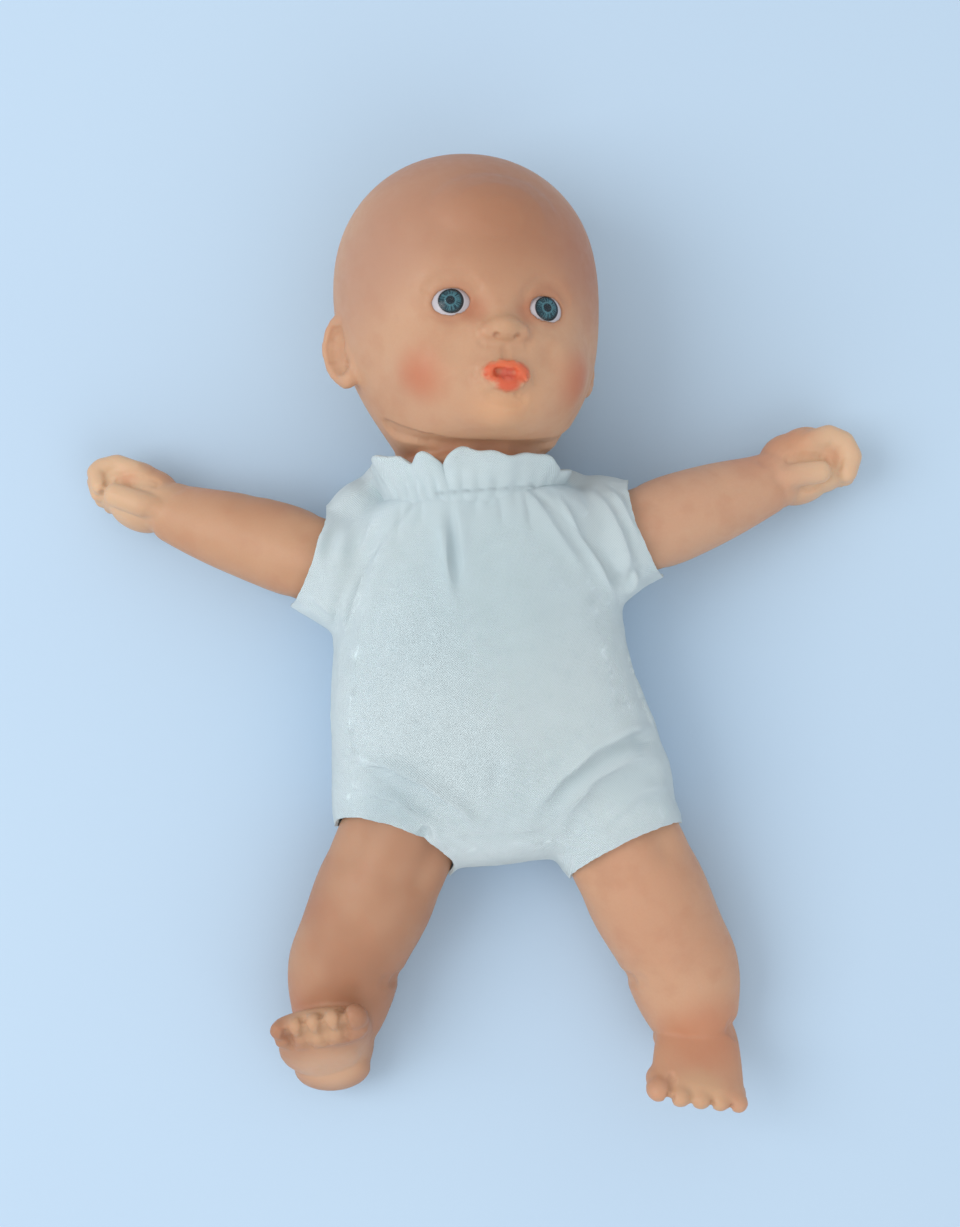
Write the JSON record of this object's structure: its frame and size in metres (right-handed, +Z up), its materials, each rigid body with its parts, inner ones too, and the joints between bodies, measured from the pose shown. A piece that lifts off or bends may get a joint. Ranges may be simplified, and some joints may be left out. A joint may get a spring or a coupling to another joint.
{
  "type": "baby doll",
  "caption": "Small soft-bodied baby doll lying on its back: stuffed cotton body with gathered collar, hollow vinyl head, arms and legs that turn in their tied openings.",
  "frame": {"origin": "on the flat of the back, under the chest, in the plane that the doll lies on", "axes": "+Z up out of the belly, +Y towards the crown of the head, +X towards the doll's own left"},
  "size_m": [0.1657, 0.2055, 0.0592],
  "materials": {
    "vinyl": "soft matte vinyl, skin tone",
    "cotton_cloth": "plain woven white cotton",
    "fibre_filling": "loose fibre filling",
    "nylon_tie": "white tie",
    "plug_plastic": "matte moulded",
    "eye_white": "smooth moulded",
    "iris": "printed blue-green iris",
    "eye_lens": "clear moulded dome"
  },
  "bodies": {
    "torso": {"front_panel": "cotton_cloth", "back_panel": "cotton_cloth", "crotch_gusset": "cotton_cloth", "sleeve_left": "cotton_cloth", "sleeve_right": "cotton_cloth", "leg_casing_left": "cotton_cloth", "leg_casing_right": "cotton_cloth", "torso_stuffing": "fibre_filling", "neck_ruffle": "cotton_cloth"},
    "collar": {"neck_tie": "nylon_tie"},
    "head": {"head_shell": "vinyl", "eye_white_left": "eye_white", "eye_white_right": "eye_white", "iris_left": "iris", "iris_right": "iris", "eye_lens_left": "eye_lens", "eye_lens_right": "eye_lens", "neck_plug": "plug_plastic"},
    "left_cuff": {"arm_tie_left": "nylon_tie"},
    "left_arm": {"arm_left": "vinyl", "arm_plug_left": "plug_plastic"},
    "right_cuff": {"arm_tie_right": "nylon_tie"},
    "right_arm": {"arm_right": "vinyl", "arm_plug_right": "plug_plastic"},
    "left_hip": {"leg_tie_left": "nylon_tie"},
    "left_leg": {"leg_left": "vinyl", "leg_plug_left": "plug_plastic"},
    "right_hip": {"leg_tie_right": "nylon_tie"},
    "right_leg": {"leg_right": "vinyl", "leg_plug_right": "plug_plastic"}
  },
  "joints": [
    {"name": "neck_nod", "type": "hinge", "parent": "torso", "child": "collar", "pos_m": [-0.0018, 0.0242, 0.0259], "axis": [1, 0, 0], "range_deg": [-8, 15], "deforming": ["neck_ruffle"]},
    {"name": "head_turn", "type": "hinge", "parent": "collar", "child": "head", "pos_m": [-0.0018, 0.0242, 0.0259], "axis": [0.0344, 0.986, -0.1633], "range_deg": [-75, 45]},
    {"name": "left_arm_swing", "type": "hinge", "parent": "torso", "child": "left_cuff", "pos_m": [0.0346, 0.0144, 0.019], "axis": [0, 0, 1], "range_deg": [-70, 40], "deforming": ["sleeve_left"]},
    {"name": "left_arm_turn", "type": "hinge", "parent": "left_cuff", "child": "left_arm", "pos_m": [0.0346, 0.0144, 0.019], "axis": [0.947, 0.2449, -0.2079], "range_deg": [-80, 80]},
    {"name": "right_arm_swing", "type": "hinge", "parent": "torso", "child": "right_cuff", "pos_m": [-0.0346, 0.0144, 0.019], "axis": [0, 0, -1], "range_deg": [-78, 35], "deforming": ["sleeve_right"]},
    {"name": "right_arm_turn", "type": "hinge", "parent": "right_cuff", "child": "right_arm", "pos_m": [-0.0346, 0.0144, 0.019], "axis": [-0.8865, 0.4134, -0.2079], "range_deg": [-80, 80]},
    {"name": "left_hip_flex", "type": "hinge", "parent": "torso", "child": "left_hip", "pos_m": [0.0256, -0.0526, 0.0172], "axis": [-1, 0, 0], "range_deg": [0, 75], "deforming": ["leg_casing_left"]},
    {"name": "left_leg_turn", "type": "hinge", "parent": "left_hip", "child": "left_leg", "pos_m": [0.0256, -0.0526, 0.0172], "axis": [0.354, -0.9221, -0.1564], "range_deg": [-35, 35]},
    {"name": "right_hip_flex", "type": "hinge", "parent": "torso", "child": "right_hip", "pos_m": [-0.0235, -0.0484, 0.0172], "axis": [-1, 0, 0], "range_deg": [0, 75], "deforming": ["leg_casing_right"]},
    {"name": "right_leg_turn", "type": "hinge", "parent": "right_hip", "child": "right_leg", "pos_m": [-0.0235, -0.0484, 0.0172], "axis": [-0.4608, -0.8667, -0.1908], "range_deg": [-35, 35]}
  ]
}
